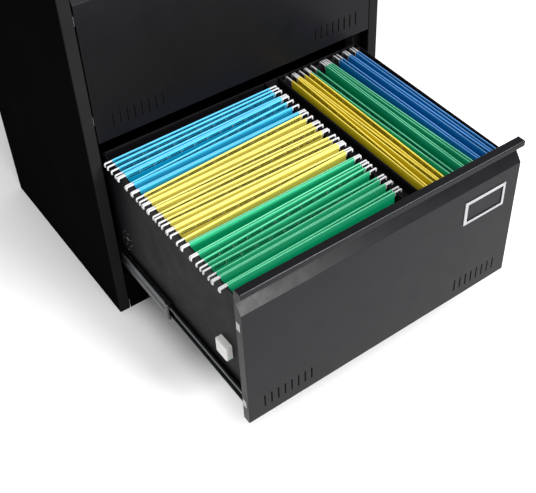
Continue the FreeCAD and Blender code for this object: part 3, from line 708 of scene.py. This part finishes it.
def make_vent_painted_shades(level):
    """Dark sheets of painted shade behind a front's two rows of vent slots, so no floor shows past the
    inner skin.

    The photograph shows the slots dark, but no such piece.
    """
    lo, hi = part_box(f"{level}_drawer_front")
    for name, side in (("left", -1), ("right", 1)):
        mesh = bmesh.new()
        loops = []
        for depth, inset in VENT_SHADE_SECTION:
            loop = []
            y = lo.y + VENT_SHADE_BACK + depth * MM
            for corner_x, corner_z, start in ((1, 1, 0.0), (-1, 1, 0.25), (-1, -1, 0.5), (1, -1, 0.75)):
                for i in range(6):
                    angle = math.tau * (start + 0.25 * i / 5)
                    reach = VENT_SHADE_CORNER - inset * MM
                    x = corner_x * (VENT_SHADE_HALF[0] - VENT_SHADE_CORNER) + reach * math.cos(angle)
                    z = corner_z * (VENT_SHADE_HALF[1] - VENT_SHADE_CORNER) + reach * math.sin(angle)
                    x += side * (hi.x - VENT_SHADE_FROM_END)
                    loop.append(mesh.verts.new((x, y, lo.z + VENT_SHADE_HEIGHT + z)))
            loops.append(loop)
        for one, other in zip(loops, loops[1:]):
            for i in range(len(one)):
                j = (i + 1) % len(one)
                mesh.faces.new((one[i], one[j], other[j], other[i]))
        mesh.faces.new(loops[0])
        mesh.faces.new(loops[-1])
        bmesh.ops.recalc_face_normals(mesh, faces=mesh.faces)
        piece = new_object(f"{level}_{name}_vent_painted_shade", mesh, [VENT_SHADE], f"{level}_drawer")
        smooth_by_angle(piece, 60)


# Each card colour: its face, the same darker as painted shade deep in the drawer, the same lighter as
# painted highlight on the hem, its slot
CARDS = {
    ("left", "blue"): ((0.002, 0.36, 0.62), (0.001, 0.27, 0.50), (0.07, 0.46, 0.70), "card_blue"),
    ("left", "yellow"): ((0.68, 0.58, 0.080), (0.60, 0.47, 0.020), (0.72, 0.63, 0.14), "card_yellow"),
    ("left", "green"): ((0.001, 0.34, 0.135), (0.001, 0.26, 0.10), (0.04, 0.43, 0.22), "card_green"),
    ("right", "yellow"): ((0.70, 0.54, 0.006), (0.54, 0.38, 0.001), (0.78, 0.62, 0.03), "card_yellow"),
    ("right", "green"): ((0.001, 0.29, 0.12), (0.001, 0.19, 0.07), (0.02, 0.38, 0.19), "card_green"),
    ("right", "blue"): ((0.001, 0.13, 0.45), (0.001, 0.09, 0.32), (0.01, 0.22, 0.55), "card_deep_blue"),
}

dress_cad_nodes()
for index, ((bay_name, colour), (face, shade, light, slot)) in enumerate(CARDS.items()):
    stock = card_stock(f"card_{bay_name}_{colour}", face, shade, light)
    make_folders(bay_name, colour, stock, 40 + index)
for bay_name in BAYS:
    make_rods(bay_name)
make_side_marks()
make_lip_crease()
for level in ("lower", "upper"):
    make_vent_painted_shades(level)


# ---------------------------------------------------------------- floor, light and camera

def add_floor():
    mesh = bmesh.new()
    size = 9.0
    for x, y in ((-size, -size), (size, -size), (size, size), (-size, size)):
        mesh.verts.new((x, y, 0.0))
    mesh.faces.new(mesh.verts)
    data = bpy.data.meshes.new("floor")
    mesh.to_mesh(data)
    mesh.free()
    floor = bpy.data.objects.new("floor", data)
    bpy.context.scene.collection.objects.link(floor)
    s = Shader("floor_pale", specular=0.1)
    base = s.scaled((0.86, 0.86, 0.86), s.ranged(s.noise(1.5, 3.0), 0.3, 0.7, 0.99, 1.01))
    data.materials.append(s.finish(base, roughness=s.ranged(s.noise(3.0), 0.0, 1.0, 0.8, 0.9)))


def add_world(strength):
    world = bpy.data.worlds.new("studio")
    bpy.context.scene.world = world
    world.use_nodes = True
    background = world.node_tree.nodes["Background"]
    background.inputs["Color"].default_value = (1.0, 1.0, 1.0, 1.0)
    background.inputs["Strength"].default_value = strength


def add_softbox(name, place, target, size, power):
    data = bpy.data.lights.new(name, "AREA")
    data.shape = "RECTANGLE"
    data.size, data.size_y = size
    data.energy = power
    light = bpy.data.objects.new(name, data)
    bpy.context.scene.collection.objects.link(light)
    light.location = place
    light.rotation_euler = (Vector(target) - Vector(place)).to_track_quat("-Z", "Y").to_euler()


CAMERA_PLACE = (-0.7643, -1.46865, 1.4651)
CAMERA_RIGHT = Vector((0.794306, -0.607508, 0.003596))
CAMERA_DOWN = Vector((-0.411337, -0.542153, -0.732715))
FRAME_W, FRAME_H = 536, 493
FOCAL_PX = 988.89
CENTRE_PX = (327.04, 201.65)
SENSOR = 36.0


def add_camera():
    data = bpy.data.cameras.new("camera")
    data.sensor_fit = "HORIZONTAL"
    data.sensor_width = SENSOR
    data.lens = FOCAL_PX / FRAME_W * SENSOR
    data.shift_x = (FRAME_W / 2 - CENTRE_PX[0]) / FRAME_W
    data.shift_y = (CENTRE_PX[1] - FRAME_H / 2) / FRAME_W
    camera = bpy.data.objects.new("camera", data)
    bpy.context.scene.collection.objects.link(camera)
    right = CAMERA_RIGHT.normalized()
    down = CAMERA_DOWN.normalized()
    back = right.cross(-down)
    turn = Matrix((right, -down, back)).transposed().to_4x4()
    camera.matrix_world = Matrix.Translation(CAMERA_PLACE) @ turn
    bpy.context.scene.camera = camera


bpy.context.scene.view_settings.view_transform = "Standard"
add_floor()
add_world(0.65)
add_softbox("key_softbox", place=(0.4, -2.95, 1.2), target=(-0.25, -0.65, 0.3), size=(0.7, 0.5), power=90)
add_softbox("top_softbox", place=(0.0, -1.8, 3.1), target=(0.0, -0.4, 0.3), size=(2.6, 2.2), power=118)
add_camera()
